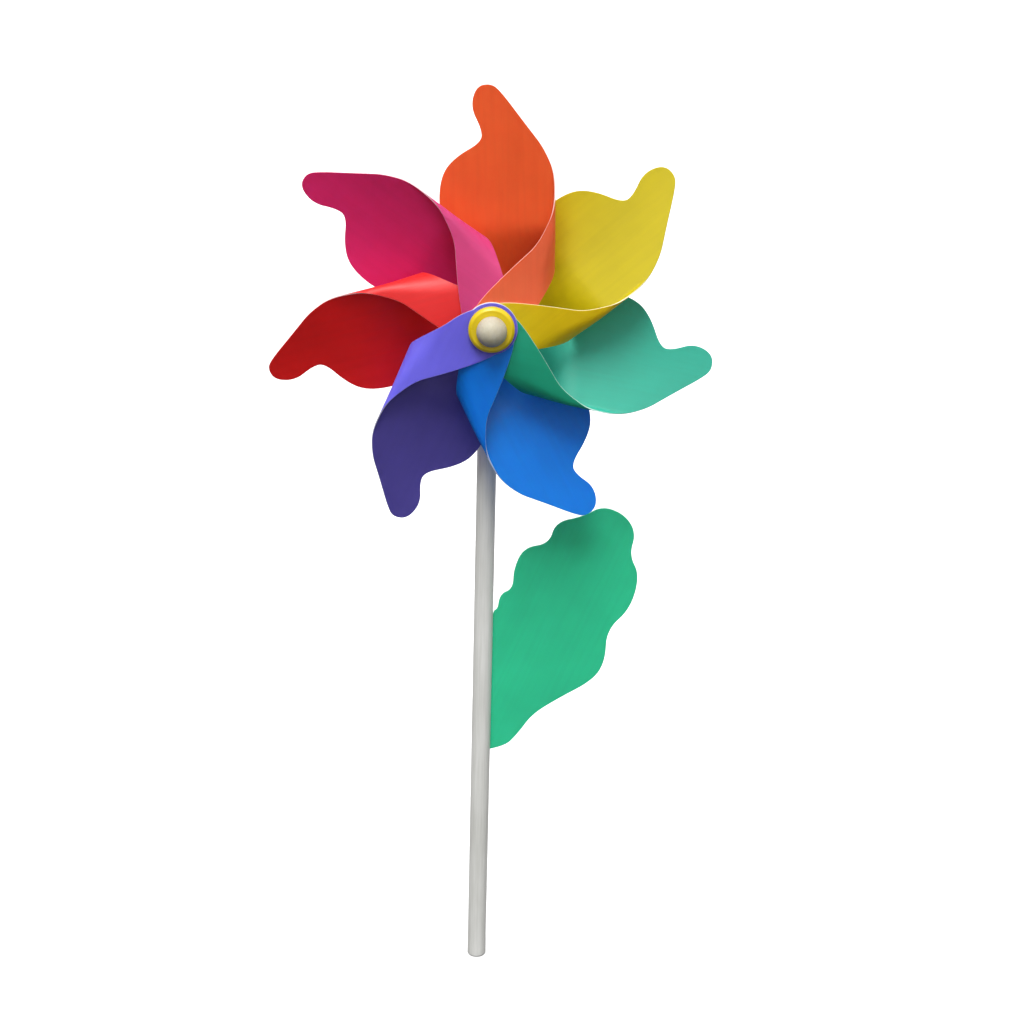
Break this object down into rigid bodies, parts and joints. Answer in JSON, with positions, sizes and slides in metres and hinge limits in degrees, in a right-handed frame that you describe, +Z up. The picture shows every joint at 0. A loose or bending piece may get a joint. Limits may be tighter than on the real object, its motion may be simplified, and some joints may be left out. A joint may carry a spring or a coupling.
{
  "type": "pinwheel",
  "caption": "Pinwheel on a stick: coloured plastic blades, each curled from a back tab to a front tab, turn freely on a wooden axle above a lobed leaf.",
  "frame": {"origin": "centre of the flat foot of the stick", "axes": "+Z up along the stick, the wheel faces -Y and turns about an axis along Y, the leaf points to +X"},
  "size_m": [0.216, 0.0588, 0.4765],
  "materials": {
    "plastic_red": "satin",
    "plastic_magenta": "satin",
    "plastic_orange": "satin",
    "plastic_yellow": "satin",
    "plastic_green": "satin",
    "plastic_blue": "satin",
    "plastic_purple": "satin",
    "leaf_green": "satin",
    "washer_yellow": "satin",
    "stick_paint": "matt paint over wood",
    "pale_wood": "sanded",
    "sleeve_plastic": "matt"
  },
  "bodies": {
    "stem": {"stick": "stick_paint", "leaf": "leaf_green", "axle": "pale_wood", "end_cap": "pale_wood"},
    "wheel": {"sleeve": "sleeve_plastic", "rear_washer": "washer_yellow", "front_washer": "washer_yellow", "blade_red": "plastic_red", "blade_magenta": "plastic_magenta", "blade_orange": "plastic_orange", "blade_yellow": "plastic_yellow", "blade_green": "plastic_green", "blade_blue": "plastic_blue", "blade_purple": "plastic_purple"}
  },
  "joints": [
    {"name": "wheel_spin", "type": "hinge", "parent": "stem", "child": "wheel", "pos_m": [0, 0, 0.366], "axis": [0, -1, 0], "continuous": true}
  ]
}
